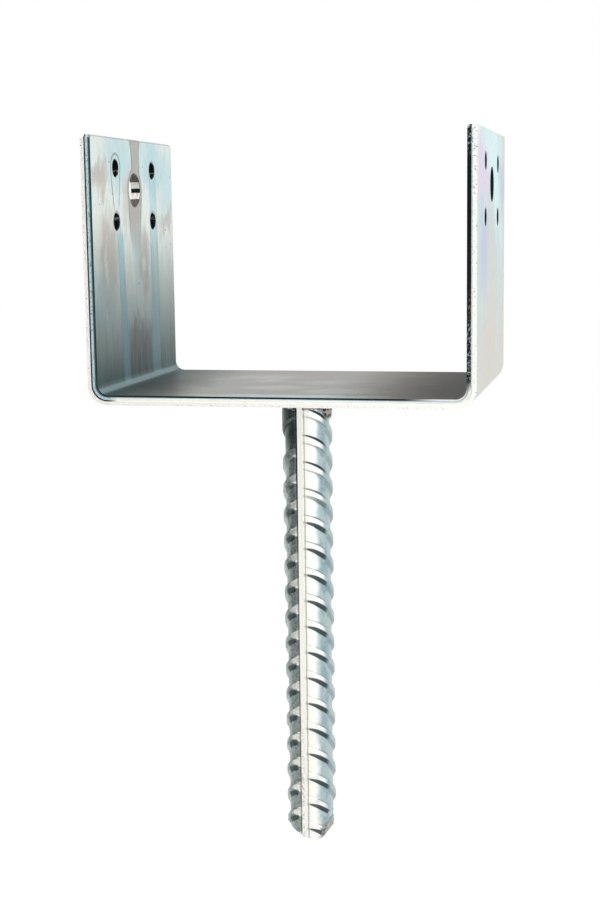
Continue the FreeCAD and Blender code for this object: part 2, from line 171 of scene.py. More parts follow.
class StripLook(bpy.types.PropertyGroup):
    """Sizes and colours of the zinc on the folded strip."""

    thickness: length("Thickness", "Thickness of the folded strip", 0.004)
    bend: length("Inside bend", "Inside radius of the two bends", 0.0043)
    pale: colour("Pale zinc", "Clean zinc on the ears", 230, 239, 233)
    cyan: colour("Blue zinc", "Bluish stains", 188, 222, 229)
    cyan_pale: colour("Pale blue zinc", "Palest bluish stains on the outer faces", 214, 242, 245)
    lavender: colour("Lavender zinc", "Violet stains on the outer faces", 222, 212, 234)
    violet: colour("Violet zinc", "Bluer violet stains on the outer faces", 188, 200, 222)
    blush: colour("Blush", "Faint pink near the top corners", 246, 236, 234)
    beige: colour("Beige", "Warm zinc low on the outer faces", 213, 207, 198)
    outer: colour("Outer zinc", "Clean zinc on the outer faces", 206, 216, 212)
    warm: colour("Warm zinc", "Greyish beige stains", 194, 188, 179)
    drip: colour("Drip", "Blue lines that ran down below the screw holes", 152, 204, 218)
    run: colour("Dull run", "Dull band from the top down to the bolt hole", 172, 168, 160)
    outline: colour("Dried rim", "Thin dried outlines round the holes", 126, 126, 122)
    # Painted shade: the seat's zinc, painted a darker warm grey than the zinc of the ears.
    seat: colour("Seat", "Dull zinc on the seat", 138, 135, 127)
    seat_pale: colour("Pale seat", "Paler rounded stains on the seat", 158, 165, 158)
    # Painted shade beside the bends and at the seat's left end; the same tone also colours the
    # left ear's cut-edge band.
    shadow: colour("Bend tone", "Tone of the dull zinc beside the bends", 52, 80, 82)
    # Painted shade: warm dark patches low on the ears and at the seat's right end.
    deep_shade: colour("Warm shade", "Warm dark patches low on the ears and the seat's end", 62, 60, 54)
    # Dark band of the burnished edge; the same dark colours the screw holes' walls as painted
    # shade.
    slate: colour("Burnished edge", "Dark band where the cut edge is burnished", 14, 24, 32)
    edge_blue: colour("Edge line", "Pale blue line along the cut edge", 196, 222, 228)
    # Partly a painted highlight: the broken band of the cut edge is painted near white.
    torn_highlight: colour("Broken edge", "Bright band where the cut edge broke away", 254, 253, 246)
    # Small dark pits; the same dark colours the bolt hole's wall as painted shade.
    speck_and_shade: colour("Speck", "Small dark pits", 26, 34, 38)
    # Painted reflections: bright bands on the walls of the holes.
    glint: colour("Glint", "Bright bands on the walls of the holes", 240, 240, 232)
    roughness: number("Roughness", "Base roughness of the zinc on the strip", 0.38)
    metal: number("Metal", "How metallic the zinc is", 0.9)


class BarLook(bpy.types.PropertyGroup):
    """Sizes and colours of the zinc on the ribbed bar."""

    turn: angle("Turn", "Turn of the bar about its own axis", 5.5)
    tilt: angle("Rib tilt", "Slope of the crescent ribs", 43.0)
    pitch: length("Rib pitch", "Distance between crescent ribs along the bar", 0.01155)
    first: length("First rib", "Depth of the first rib of the right row", 0.0049)
    seam: length("Seam rib", "Half the width of a lengthwise rib at its crest", 0.00115)
    # Painted highlight: near white on the front of the bar, on the rib crests and on the seams,
    # and in patches at the back.
    bright: colour("Bright zinc", "Bright zinc on the front of the bar", 254, 253, 246)
    # Painted reflection: the bluish tone on the right flank.
    blue: colour("Blue zinc", "Bluish zinc on the right flank", 138, 168, 178)
    # Painted reflection: a paler tone toward the right side, and pale cloudy patches on the left.
    rim: colour("Pale zinc", "Pale zinc round the right side", 190, 206, 206)
    # Painted shade over the grainy zinc left of the seam; its tone also colours the pits on the
    # front seam.
    dull_and_shaded: colour("Dull zinc", "Grainy zinc left of the seam", 160, 170, 166)
    # Painted reflection: a paler tone toward the left side of the bar.
    left_rim: colour("Left zinc", "Paler zinc round the left side", 196, 210, 206)
    # Painted shade: dark lines along the ribs and seams, and darker grainy patches on the left;
    # the same dark also marks the pits and the line on the sheared end.
    under: colour("Under the ribs", "Dark lines along the ribs", 44, 62, 66)
    # Painted shadow of the strip, high on the bar's left side.
    deep_shade: colour("Weld smoke", "Darkened zinc below the weld", 52, 62, 64)
    pressed: colour("Pressed end", "Dull metal of the sheared and pressed end", 168, 166, 158)
    roughness: number("Roughness", "Base roughness of the zinc on the bar", 0.36)
    metal: number("Metal", "How metallic the zinc is", 0.9)


class WeldLook(bpy.types.PropertyGroup):
    """Sizes and colours of the weld bead."""

    root: length("Root", "Radius of the bead's inner rim, inside the bar", 0.009)
    reach: length("Reach", "Radius of the bead against the strip", 0.0132)
    drop: length("Drop", "Height of the bead down the bar", 0.0117)
    front: number("Front", "How much shorter the bead is in front, as a share of its drop", 0.4)
    ripples: bpy.props.IntProperty(
        name="Ripples", description="Number of ripples round the bead", min=6, max=48, default=22)
    swell: length("Swell", "How far a ripple stands out", 0.00035)
    lumps: length("Lumps", "Height of the uneven lumps on the bead", 0.0009)
    pale: colour("Weld metal", "Zinc over the weld metal", 172, 170, 162)
    dark: colour("Weld pits", "Dark hollows between the lumps", 30, 34, 34)
    roughness: number("Roughness", "Base roughness of the weld", 0.45)
    metal: number("Metal", "How metallic the weld is", 0.85)
    relief: length("Relief", "Height of the fine grain on the weld", 0.0003)


class StudioLook(bpy.types.PropertyGroup):
    """Camera, lamps, floor and shading cards."""

    camera_place: bpy.props.FloatVectorProperty(
        name="Camera", description="Place of the camera", subtype="TRANSLATION", unit="LENGTH",
        size=3, default=(0.14616, -0.65910, 0.07126))
    camera_turn: angle("Turn", "How far the camera turns to its left", 12.78)
    camera_dip: angle("Dip", "How far the camera looks down", 8.46)
    camera_roll: angle("Roll", "How far the camera leans", -0.77)
    lens: number("Lens", "Focal length in millimetres", 62.8, 10.0, 200.0)
    drop: length("Floor drop", "Gap between the bar's end and the floor", 0.12)
    floor_size: length("Floor size", "Width of the square floor", 12.0)
    floor_white: number("Floor white", "How far the floor is plain white to the camera", 0.86)
    floor_glow: number("Floor glow", "Brightness of that plain white", 1.09, 0.0, 2.0)
    key: number("Key lamp", "Power of the large lamp on the right", 9.0, 0.0, 100.0)
    fill: number("Fill lamp", "Power of the lamp overhead", 4.0, 0.0, 100.0)
    ambient: number("Ambient", "Strength of the even light all round", 0.5, 0.0, 2.0)
    card: colour("Card", "Colour of the card that shades the metal", 52, 62, 66)


class Field:
    """A value that varies over a surface: one output socket with arithmetic."""

    def __init__(self, finish, socket):
        self.finish = finish
        self.socket = socket

    def math(self, operation, first, second=0.0):
        """One step of arithmetic between two values."""
        return self.finish.node("ShaderNodeMath", {"operation": operation}, {0: first, 1: second})

    def __add__(self, other):
        return self.math("ADD", self, other)

    def __radd__(self, other):
        return self.math("ADD", other, self)

    def __sub__(self, other):
        return self.math("SUBTRACT", self, other)

    def __rsub__(self, other):
        return self.math("SUBTRACT", other, self)

    def __mul__(self, other):
        return self.math("MULTIPLY", self, other)

    def __rmul__(self, other):
        return self.math("MULTIPLY", other, self)

    def __truediv__(self, other):
        return self.math("DIVIDE", self, other)

    def __pow__(self, other):
        return self.math("POWER", self, other)

    def __abs__(self):
        return self.math("ABSOLUTE", self)

    def least(self, other):
        """The smaller of the two."""
        return self.math("MINIMUM", self, other)

    def most(self, other):
        """The larger of the two."""
        return self.math("MAXIMUM", self, other)

    def sign(self):
        """-1, 0 or 1."""
        return self.math("SIGN", self)

    def about(self, other):
        """The angle in degrees of the direction whose sine is this and whose cosine is other."""
        return self.math("ARCTAN2", self, other) * math.degrees(1.0)

    def repeated(self, pitch):
        """The distance to the nearest whole multiple of the pitch, below it or above it."""
        return (self.math("FRACT", self / pitch + 0.5) - 0.5) * pitch

    def rise(self, low, high):
        """0 below low, 1 above high, and a smooth step between."""
        return self.finish.node(
            "ShaderNodeMapRange", {"interpolation_type": "SMOOTHSTEP"},
            {"Value": self, "From Min": low, "From Max": high})

    def fall(self, low, high):
        """1 below low, 0 above high, and a smooth step between."""
        return 1.0 - self.rise(low, high)

    def band(self, centre, half, soft):
        """1 within half of the centre, 0 beyond half + soft."""
        return (abs(self - centre) - half).fall(0.0, soft)


class Finish:
    """The nodes of a material or a world being made, and the few calls that fill it."""

    # Places of the colour sockets of a Mix node, which share their names with other sockets.
    first_colour, second_colour, mixed_colour = 6, 7, 2

    def __init__(self, owner):
        self.owner = owner
        owner.use_nodes = True
        self.tree = owner.node_tree
        self.tree.nodes.clear()

    def node(self, kind, settings=None, inputs=None, output=0):
        """A new node: its settings first, then the values or links of its sockets."""
        node = self.tree.nodes.new(kind)
        for name, value in (settings or {}).items():
            setattr(node, name, value)
        for name, value in (inputs or {}).items():
            if isinstance(value, Field):
                self.tree.links.new(value.socket, node.inputs[name])
            else:
                node.inputs[name].default_value = value
        return Field(self, node.outputs[output]) if node.outputs else None

    def parts(self, vector):
        """The three numbers of a vector."""
        split = self.node("ShaderNodeSeparateXYZ", inputs={0: vector})
        return [Field(self, output) for output in split.socket.node.outputs]

    def mix(self, factor, below, above):
        """One colour over another, each a colour or a varying colour."""
        inputs = {0: factor, self.first_colour: below, self.second_colour: above}
        return self.node("ShaderNodeMix", {"data_type": "RGBA"}, inputs, self.mixed_colour)

    def toned(self, base, factor):
        """A colour made darker or lighter by a varying factor."""
        return self.node(
            "ShaderNodeVectorMath", {"operation": "SCALE"}, {0: base, "Scale": factor})

    def seen(self):
        """1 where the camera, a mirror or glass looks, and 0 for light that falls on a surface."""
        path = self.node("ShaderNodeLightPath", output="Is Camera Ray")
        outputs = path.socket.node.outputs
        mirrored = path.most(Field(self, outputs["Is Glossy Ray"]))
        return mirrored.most(Field(self, outputs["Is Transmission Ray"]))


class Surface(Finish):
    """A material that follows the place, in millimetres, and the facing of a surface."""

    stain_rim = 1.9  # where a stain has faded away, with its stated rim at 1

    def __init__(self, name):
        super().__init__(bpy.data.materials.new(name))
        place = self.node("ShaderNodeTexCoord", output="Object")
        self.facing = Field(self, place.socket.node.outputs["Normal"])
        self.place = self.node(
            "ShaderNodeVectorMath", {"operation": "SCALE"}, {0: place, "Scale": MM})

    def stretched(self, size, shift=(0.0, 0.0, 0.0)):
        """The place divided by a feature size in millimetres along each axis."""
        return self.node(
            "ShaderNodeVectorMath", {"operation": "MULTIPLY_ADD"},
            {0: self.place, 1: [1.0 / step for step in size], 2: shift})

    def cloud(self, size, shift=(0.0, 0.0, 0.0), detail=2.0, roughness=0.5, distortion=0.0):
        """Soft noise about 0.5 with features of the given size in millimetres."""
        return self.node(
            "ShaderNodeTexNoise", {},
            {"Vector": self.stretched(size, shift), "Scale": 1.0, "Detail": detail,
             "Roughness": roughness, "Distortion": distortion})

    def pits(self, size, shift=(0.0, 0.0, 0.0)):
        """Distance to the nearest of scattered points, in cells of the given size."""
        return self.node(
            "ShaderNodeTexVoronoi", {}, {"Vector": self.stretched(size, shift), "Scale": 1.0},
            "Distance")

    def stained(self, look, base, across, rise, rows):
        """Soft patches of a look's colours, laid one over another."""
        for name, strength, *patch in rows:
            reach = oval(across, rise, *patch)
            patch_share = reach.fall(0.0, self.stain_rim) * strength
            base = self.mix(patch_share, base, getattr(look, name))
        return base

    def finished(self, base, roughness, metallic, relief, depth):
        """The metal shader with its relief, joined to the material output."""
        bump = self.node(
            "ShaderNodeBump", {}, {"Height": relief, "Distance": depth, "Strength": 1.0},
            "Normal")
        surface = self.node(
            "ShaderNodeBsdfPrincipled", {},
            {"Base Color": base, "Roughness": roughness, "Metallic": metallic, "Normal": bump})
        self.node("ShaderNodeOutputMaterial", {}, {"Surface": surface})
        return self.owner


def oval(across, rise, middle, height, half_width, half_height):
    """0 in the middle of an oval patch, 1 on its rim and more outside it."""
    return ((across - middle) / half_width) ** 2.0 + ((rise - height) / half_height) ** 2.0


def drop_shape(across, rise, radius, taper):
    """Distance outside a hanging drop: round above its middle, narrowing below it."""
    below = rise.least(0.0)
    above = rise.most(0.0)
    return (across ** 2.0 + above ** 2.0) ** 0.5 - (radius + below * taper)


class StripZinc(Surface):
    """Blue-passivated zinc on the folded strip, drip stained, with burnished cut edges, painted
    shade by the bends and at the seat's ends, and painted highlights along the bends and on the
    broken edges.
    """

    # Marks on the ears' inner faces, and the height that painted shade reaches above the bends, as
    # places across the ear and heights, in millimetres.
    run_middle, run_half, run_flare = 1.6, 5.0, 1.6
    left_drip, right_drip = -21.0, 25.5
    drip_top = 70.0
    shade_height = 68.0
    relief_depth = 0.00012

    def __init__(self, look):
        super().__init__("strip_zinc")
        self.look = look
        self.x, self.y, self.z = self.parts(self.place)
        self.rough = self.cloud((1.1, 1.1, 1.3), (2.0, 5.0, 1.0), 3.0, 0.75)

        # Depth through the sheet: 0 on the post's side, the thickness on the outer side.
        bend = MM * look.bend
        self.thick = MM * look.thickness
        self.past_side = abs(self.x) - (STRIP_END - self.thick - bend)
        self.past_floor = bend - self.z
        corner = (self.past_side.most(0.0) ** 2.0 + self.past_floor.most(0.0) ** 2.0) ** 0.5
        self.depth = corner + self.past_side.most(self.past_floor).least(0.0) - bend
        self.on_ear = self.past_side.rise(-0.5, bend) * self.z.rise(0.6, 3.0)

    def made(self):
        """The whole material, from the flat faces to the cut edge, the holes and the specks."""
        look = self.look
        ny, nz = self.parts(self.facing)[1:]
        grain = self.cloud((0.8, 0.8, 0.8), detail=3.0, roughness=0.75)
        mottle = self.cloud((3.2, 3.2, 4.0), (1.0, 8.0, 2.0), 3.0, 0.7)
        top_edge = nz.rise(0.6, 0.85) * self.z.rise(EAR_TOP - 1.0, EAR_TOP - 0.5)
        cut = abs(ny).rise(0.35, 0.6).most(top_edge)
        inner = self.depth.fall(self.thick / 3, self.thick / 2)

        seat, seat_dull_and_shaded = self.seat()
        ear, ear_dull_and_shaded = self.inner_faces()
        face = self.mix(self.on_ear, seat, ear)
        # Where shade is painted, the zinc is also made rougher and less metallic.
        dull_and_shaded = (seat_dull_and_shaded * (1.0 - self.on_ear) + ear_dull_and_shaded * self.on_ear * 0.6) * inner
        # A painted highlight along each bend.
        face = self.mix(self.bend_highlight() * 0.34, face, look.cyan)
        face = self.mix(1.0 - inner, face, self.outer_faces())
        face = self.mix(cut, face, self.cut_edge())
        face = self.hole_walls(face)
        specks = self.pits((9.0, 9.0, 9.0)).fall(0.035, 0.07) * (1.0 - cut)
        face = self.mix(specks * 0.7, face, look.speck_and_shade)
        face = self.toned(face, 0.78 + grain * 0.2 + mottle * 0.24)

        roughness = look.roughness + (grain - 0.5) * 0.2 + cut * 0.1 + dull_and_shaded * 0.3
        metallic = look.metal * (1.0 - dull_and_shaded * 0.85)
        # Relief of the broken band, where the painted highlight lies.
        torn_highlight = self.rough * cut * self.depth.rise(1.9, 2.4)
        relief = grain * 0.3 + torn_highlight * 2.4 + mottle * 0.5
        return self.finished(face, roughness, metallic, relief, self.relief_depth)

    def bend_highlight(self):
        """A soft painted highlight along the middle of each bend."""
        along = (self.past_side.most(0.0) - self.past_floor.most(0.0)).band(0.2, 0.9, 1.8)
        return along * self.past_side.rise(-0.6, 0.6) * self.past_floor.rise(-0.6, 0.6)

    def inner_faces(self):
        """The ears' inner faces: pale and bluish above, run marks, painted shade beside the bends.
        """
        look, z = self.look, self.z
        across = self.y * (self.x * -1.0).sign()
        wave = self.cloud((11.0, 11.0, 15.0), (0.0, 3.0, 5.0), 4.0, 0.65)
        ripple = self.cloud((6.0, 6.0, 20.0), (5.0, 1.0, 9.0), 4.0, 0.65)
        streaks = self.cloud((5.0, 2.4, 55.0), (6.0, 2.0, 1.0), 3.0, 0.6)
        wavy_across = across + (wave - 0.5) * 18.0
        wavy_rise = z + (ripple - 0.5) * 34.0
        sway = (wave - 0.5) * 2.4
        ear = self.stained(look, look.pale, wavy_across, wavy_rise, INNER_STAINS)
        ear = self.mix(streaks.rise(0.5, 0.72) * z.fall(40.0, 90.0) * 0.45, ear, look.cyan)
        ear = self.mix(streaks.fall(0.3, 0.48) * z.fall(30.0, 80.0) * 0.4, ear, look.warm)
        ear = self.dull_run(ear, across, sway, ripple)
        ear, drips = self.drips(ear, across, sway, ripple)
        ear = self.screw_rims(ear, across, sway)

        # Painted shade beside the bends, with the drips and streaks still showing through.
        climb = (wavy_rise * 0.2 + z * 0.8).most(0.0) / self.shade_height
        dull_and_shaded = (1.0 - climb ** 1.35).most(0.0)
        ear = self.mix(dull_and_shaded * 0.96, ear, look.shadow)
        # A warm patch of painted shade low on the ear.
        warm = oval(wavy_across, wavy_rise, 2.0, 16.0, 17.0, 12.0)
        ear = self.mix(warm.fall(0.0, 2.0) * 0.55, ear, look.deep_shade)
        ear = self.mix(drips * z.fall(10.0, 50.0) * 0.22, ear, look.drip)
        ear = self.mix(streaks.rise(0.5, 0.7) * z.fall(10.0, 45.0) * 0.16, ear, look.drip)
        return ear, dull_and_shaded

    def dull_run(self, ear, across, sway, ripple):
        """The muted run from the top edge, and the drop-shaped mark round the bolt hole."""
        z = self.z
        run = abs(across - self.run_middle + sway) - self.run_half
        run = run - z.rise(EAR_TOP - 6.0, EAR_TOP) * self.run_flare
        hang = drop_shape(across + sway, z - BOLT_RISE, BOLT_RADIUS + 2.3, 0.14)
        mark = hang.most(BOLT_RISE - 34.0 - z).least(run.most(BOLT_RISE + 6.0 - z))
        ear = self.mix(mark.fall(-0.4, 0.8) * z.rise(50.0, 72.0) * 0.85, ear, self.look.run)
        rim = mark.band(0.0, 0.25, 0.7) * z.rise(58.0, 76.0)
        return self.mix(rim * ripple.rise(0.3, 0.6) * 0.75, ear, self.look.outline)

    def drips(self, ear, across, sway, ripple):
        """Blue marks that ran down from the screw holes; also returns where they are."""
        look, z = self.look, self.z
        left = across - self.left_drip - (self.drip_top - z) * 0.07 + sway
        left_mask = left.band(0.0, 2.6, 2.6) * z.fall(62.0, 71.0)
        ear = self.mix(left_mask * (0.45 + ripple * 0.6), ear, look.drip)
        right = across - self.right_drip + sway
        right_mask = right.band(0.0, 4.2, 2.4) * z.fall(84.0, 92.0)
        ear = self.mix(right_mask * (0.2 + ripple * 0.6), ear, look.drip)
        lines = abs(right).band(4.6, 0.5, 0.9).most(abs(left).band(3.2, 0.3, 0.7))
        lines = lines * z.fall(60.0, 72.0) * ripple.rise(0.3, 0.7)
        ear = self.mix(lines * 0.5, ear, look.outline)
        streak = right.band(-1.8, 0.6, 1.6) * z.fall(50.0, 70.0)
        return self.mix(streak * 0.5, ear, look.drip), left_mask.most(right_mask)

    def screw_rims(self, ear, across, sway):
        """Dried outlines round the screw holes, the widest round the upper front one."""
        z = self.z
        marks = drop_shape(across + SCREW_SIDE + sway, z - SCREW_HIGH, SCREW_RADIUS + 2.5, 0.17)
        marks = marks.band(0.0, 0.15, 0.6) * z.rise(73.0, 78.0)
        for side, height, gap in ((-1, SCREW_LOW, 0.9), (1, SCREW_HIGH, 0.7), (1, SCREW_LOW, 0.9)):
            ring = drop_shape(across - side * SCREW_SIDE, z - height, SCREW_RADIUS + gap, 0.12)
            ring = ring.band(0.0, 0.1, 0.5) * z.rise(height - 9.0, height - 4.0)
            marks = marks.most(ring * 0.7)
        return self.mix(marks * across.fall(36.0, 37.0) * 0.75, ear, self.look.outline)

    def outer_faces(self):
        """The ears' outer faces and the underside: violet, bluish and beige stains."""
        look, z = self.look, self.z
        wave = self.cloud((14.0, 14.0, 18.0), (2.0, 3.0, 1.0), 3.0, 0.55)
        ripple = self.cloud((12.0, 12.0, 22.0), (5.0, 4.0, 7.0), 3.0)
        wavy_across = self.y * self.x.sign() + (wave - 0.5) * 26.0
        wavy_rise = z + (ripple - 0.5) * 34.0
        ear = self.stained(look, look.outer, wavy_across, wavy_rise, OUTER_STAINS)
        streaks = self.cloud((6.0, 2.2, 60.0), (3.0, 5.0, 2.0), 3.0, 0.6)
        ear = self.toned(ear, 1.04 - streaks.rise(0.5, 0.75) * z.fall(60.0, 84.0) * 0.09)
        patches = self.cloud((22.0, 16.0, 20.0), (1.0, 2.0, 6.0), 3.0, 0.6, 0.6)
        under = self.mix(patches.rise(0.42, 0.6), look.outer, look.cyan)
        under = self.mix(patches.fall(0.34, 0.44) * 0.8, under, look.warm)
        return self.mix(z.fall(-3.6, -1.0), ear, under)

    def seat(self):
        """The seat: zinc painted a darker warm grey than the ears as shade, with paler rounded
        stains and deeper painted shade at both ends.
        """
        look, x, y = self.look, self.x, self.y
        wave = self.cloud((16.0, 12.0, 12.0), (2.0, 2.0, 0.0), 3.0, 0.6, 0.7)
        mottle = self.cloud((5.0, 5.0, 5.0), (7.0, 2.0, 0.0), 3.0, 0.65)
        wavy_x = x + (wave - 0.5) * 30.0
        seat = self.stained(look, look.seat, wavy_x, y + (wave - 0.5) * 18.0, SEAT_STAINS)
        seat = self.toned(seat, 0.86 + mottle * 0.28)
        # Painted shade toward the seat's right end.
        right = (wavy_x * 0.3 + x * 0.7).rise(8.0, 66.0)
        seat = self.mix(right * 0.96, seat, look.deep_shade)
        # Painted shade toward the seat's left end.
        left = (wavy_x * 0.2 + x * 0.8).fall(-74.0, -30.0)
        seat = self.mix(left * 0.85, seat, look.shadow)
        # A warm patch of painted shade on the left of the seat.
        warm = oval(wavy_x, y, -52.0, -12.0, 16.0, 30.0)
        seat = self.mix(warm.fall(0.0, 1.8) * 0.5, seat, look.deep_shade)
        # Painted shade along the front edge of the seat's left half.
        seat = self.mix(y.fall(-54.0, -50.0) * x.fall(-60.0, -20.0) * 0.6, seat, look.shadow)
        return seat, right.most(left * 0.6)

    def cut_edge(self):
        """The cut edge: burnished next to the post, a thin blue line, broken bright outside, the
        brightness partly a painted highlight.
        """
        look, x, z = self.look, self.x, self.z
        depth, rough = self.depth, self.rough
        left = x.fall(-71.0, -66.0)
        right = x.rise(66.0, 72.0) * z.rise(2.0, 8.0)
        specks = rough.rise(0.6, 0.66)
        # The broken band, near white as partly a painted highlight, with dark specks.
        torn_highlight = self.mix(specks * 0.9 * depth.rise(2.2, 3.4), look.torn_highlight, look.speck_and_shade)
        frosted = rough.rise(0.46, 0.6) * z.rise(38.0, 96.0) * right
        torn_highlight = self.mix(frosted * 0.8, torn_highlight, look.edge_blue)
        torn_highlight = self.mix(frosted * specks, torn_highlight, look.speck_and_shade)

        # Left ear: slate line, bluish band, black line, bright band, partly a painted highlight.
        band = self.mix(depth.band(1.35, 0.4, 0.3), look.shadow, look.edge_blue)
        band = self.mix(rough.rise(0.5, 0.62) * 0.6, band, look.shadow)
        lines = depth.band(2.15, 0.2, 0.2).most(depth.fall(0.25, 0.45))
        band = self.mix(lines, band, look.slate)
        left_edge = self.mix(depth.rise(2.3, 2.6), band, torn_highlight)

        # Seat: a thin dark line and a pale one, then bright, partly a painted highlight.
        lip = self.mix(depth.band(0.75, 0.15, 0.2), look.torn_highlight, look.edge_blue)
        lip = self.mix(depth.fall(0.6, 0.8) * x.fall(50.0, 66.0), lip, look.slate)
        seat_edge = self.mix(specks * depth.rise(3.0, 3.8), lip, look.speck_and_shade)

        # Right ear: wide dark band with paler specks low down and at the top.
        flecks = rough.rise(0.52, 0.6) * z.fall(20.0, 46.0).most(z.rise(92.0, 99.0))
        dark = self.mix(flecks * 0.8, look.slate, look.edge_blue)
        right_edge = self.mix(depth.rise(1.7, 2.0), dark, torn_highlight)
        return self.mix(right, self.mix(left, seat_edge, left_edge), right_edge)

    def hole_walls(self, face):
        """Walls of the holes: dark as painted shade, with bright bands of painted reflection
        across the left ear's bolt hole and fainter ones in its screw holes.
        """
        look, y = self.look, self.y
        left_ear = self.x.fall(-1.0, 1.0)
        bolt_rise = self.z - BOLT_RISE
        screw_rise = abs(self.z - SCREW_MID) - SCREW_HALF
        bolt_wall = (y ** 2.0 + bolt_rise ** 2.0) ** 0.5
        screw_wall = ((abs(y) - SCREW_SIDE) ** 2.0 + screw_rise ** 2.0) ** 0.5
        jitter = (self.rough - 0.5) * 1.6
        # Painted reflections, faint, on the left ear's screw hole walls, which are painted dark as
        # shade.
        glint = (screw_rise + jitter * 1.6).band(-1.1, 0.3, 0.4) * self.rough.rise(0.4, 0.6)
        wall = self.mix(glint * 0.4 * left_ear, look.slate, look.glint)
        face = self.mix(screw_wall.fall(SCREW_RADIUS + 0.15, SCREW_RADIUS + 0.5), face, wall)
        # Painted reflections across the left ear's bolt hole wall, which is painted dark as shade.
        bands = abs(bolt_rise + jitter * 0.4).band(2.3, 1.1, 0.5)
        wall = self.mix(bands * left_ear, look.speck_and_shade, look.glint)
        shoulder = abs(bolt_rise).rise(3.4, 4.4)
        wall = self.mix(shoulder * left_ear * 0.35, wall, look.run)
        return self.mix(bolt_wall.fall(BOLT_RADIUS + 0.15, BOLT_RADIUS + 0.5), face, wall)


class BarZinc(Surface):
    """Zinc on the ribbed bar, with painted light: a painted highlight in front, painted bluish
    reflection on the right, painted shade over the grainy left, and painted highlights and shade
    lines at the ribs.
    """

    # In millimetres: from a crescent rib's crest to the painted shade lines along its flanks, and
    # the heights between which the dark painted shade line passes from the rib's upper flank to
    # its lower one.
    flank = 1.75
    low_ribs, high_ribs = -62.0, -34.0
    relief_depth = 0.00018

    def __init__(self, look):
        super().__init__("bar_zinc")
        self.look = look
        x, y, self.z = self.parts(self.place)
        self.across = x * math.cos(look.turn) - y * math.sin(look.turn)
        self.back = x * math.sin(look.turn) + y * math.cos(look.turn)

        # Degrees round the bar from the front lengthwise rib, positive to the right.
        self.turn = self.across.about(self.back * -1.0)
        self.side = abs(self.turn)

        # Heights over the nearest rib of each row.
        pitch = MM * look.pitch
        plane = self.z - STRIP_UNDER + self.back * math.tan(look.tilt) + MM * look.first
        self.over_right = plane.repeated(pitch)
        self.over_left = (plane + pitch / 2).repeated(pitch)

        self.clouds = self.cloud((5.0, 5.0, 7.0), detail=3.0, roughness=0.6)
        self.rough = self.cloud((1.3, 1.3, 1.5), (4.0, 1.0, 2.0), 3.0, 0.75)
        self.low = self.z.fall(self.low_ribs, self.high_ribs)

    def made(self):
        """The whole material, from the bar's round body to the ribs and the sheared end."""
        look = self.look
        grain = self.cloud((0.9, 0.9, 1.2), detail=3.0, roughness=0.75)
        face = self.round_body()
        face = self.right_ribs(face)
        face = self.left_ribs(face)
        face = self.lengthwise_ribs(face)
        face = self.sheared_end(face)
        face = self.toned(face, 0.86 + grain * 0.28)
        roughness = look.roughness + (grain - 0.5) * 0.25
        left = self.rough * self.turn.fall(-10.0, 0.0)
        relief = grain * 0.5 + left * 1.2 + self.clouds * self.back.fall(-1.0, 3.0)
        return self.finished(face, roughness, look.metal, relief, self.relief_depth)

    def round_body(self):
        """Round the bar: painted shade over the grainy left, a painted highlight in front, a
        painted bluish reflection on the right, paler painted reflection at both sides, and a
        painted shadow of the strip high on the left.
        """
        look, turn, clouds, rough = self.look, self.turn, self.clouds, self.rough
        sway = turn + (clouds - 0.5) * 24.0
        # Painted shade over the left, paler painted reflection toward the left side, darker grainy
        # patches and pale cloudy ones.
        face = self.mix(sway.rise(-72.0, -40.0), look.left_rim, look.dull_and_shaded)
        face = self.mix(rough.rise(0.46, 0.62) * sway.fall(-16.0, -8.0) * 0.5, face, look.under)
        face = self.mix(clouds.rise(0.5, 0.62) * 0.4 * sway.fall(-40.0, -20.0), face, look.rim)
        # Painted highlight right of the seam, then paler and bluish painted reflection toward the
        # right side.
        face = self.mix(turn.rise(0.0, 1.0), face, look.bright)
        face = self.mix(sway.rise(22.0, 44.0) * 0.45 * self.low, face, look.rim)
        face = self.mix(sway.rise(29.0, 54.0) * (0.5 + rough * 0.8).least(1.0), face, look.blue)
        face = self.mix(sway.rise(38.0, 56.0) * clouds.rise(0.42, 0.6) * 0.7, face, look.rim)
        face = self.mix(sway.rise(58.0, 84.0) * 0.85, face, look.rim)
        # Painted highlight in patches at the back.
        face = self.mix(
            self.side.rise(128.0, 150.0) * clouds.rise(0.35, 0.6), face, look.bright)
        # Painted shadow of the strip, high on the bar's left side.
        strip_shadow = turn.fall(-16.0, -6.0) * turn.rise(-172.0, -150.0) * self.z.rise(-34.0, -22.0)
        return self.mix(strip_shadow * 0.8, face, look.deep_shade)

    def right_ribs(self, face):
        """Painted highlights on the crests, a dark painted shade line that grows away from the
        seam, a faint one opposite.
        """
        look, side, low = self.look, self.side, self.low
        reach = side.rise(7.0, 16.0) * side.fall(58.0, 72.0)
        bold = 0.14 + side.rise(8.0, 46.0) * 0.6
        on_right = self.turn.rise(0.0, 2.0)
        # Painted shade: the dark line is on the lower flank low on the bar and on the upper flank
        # high up, under the strip.
        below = abs(self.over_right + self.flank)
        above = abs(self.over_right - self.flank)
        dark = (below - bold).fall(0.0, 0.45) * low
        dark = dark.most((above - bold).fall(0.0, 0.45) * (1.0 - low))
        faint = above.fall(0.1, 0.45) * low + below.fall(0.1, 0.45) * (1.0 - low)
        lines = (dark * 0.92).most(faint * 0.42) * reach * on_right
        # Painted highlight on the crests.
        crest = self.over_right.band(0.0, 0.9, 0.5) * side.rise(30.0, 40.0) * side.fall(50.0, 62.0)
        face = self.mix(crest * on_right * 0.75, face, look.bright)
        face = self.mix(lines, face, look.under)
        # A faint painted shade line toward the right side.
        far_line = (self.over_right + 2.6).band(0.0, 0.6, 0.9) * side.rise(62.0, 76.0) * 0.3
        return self.mix(far_line * on_right, face, look.under)

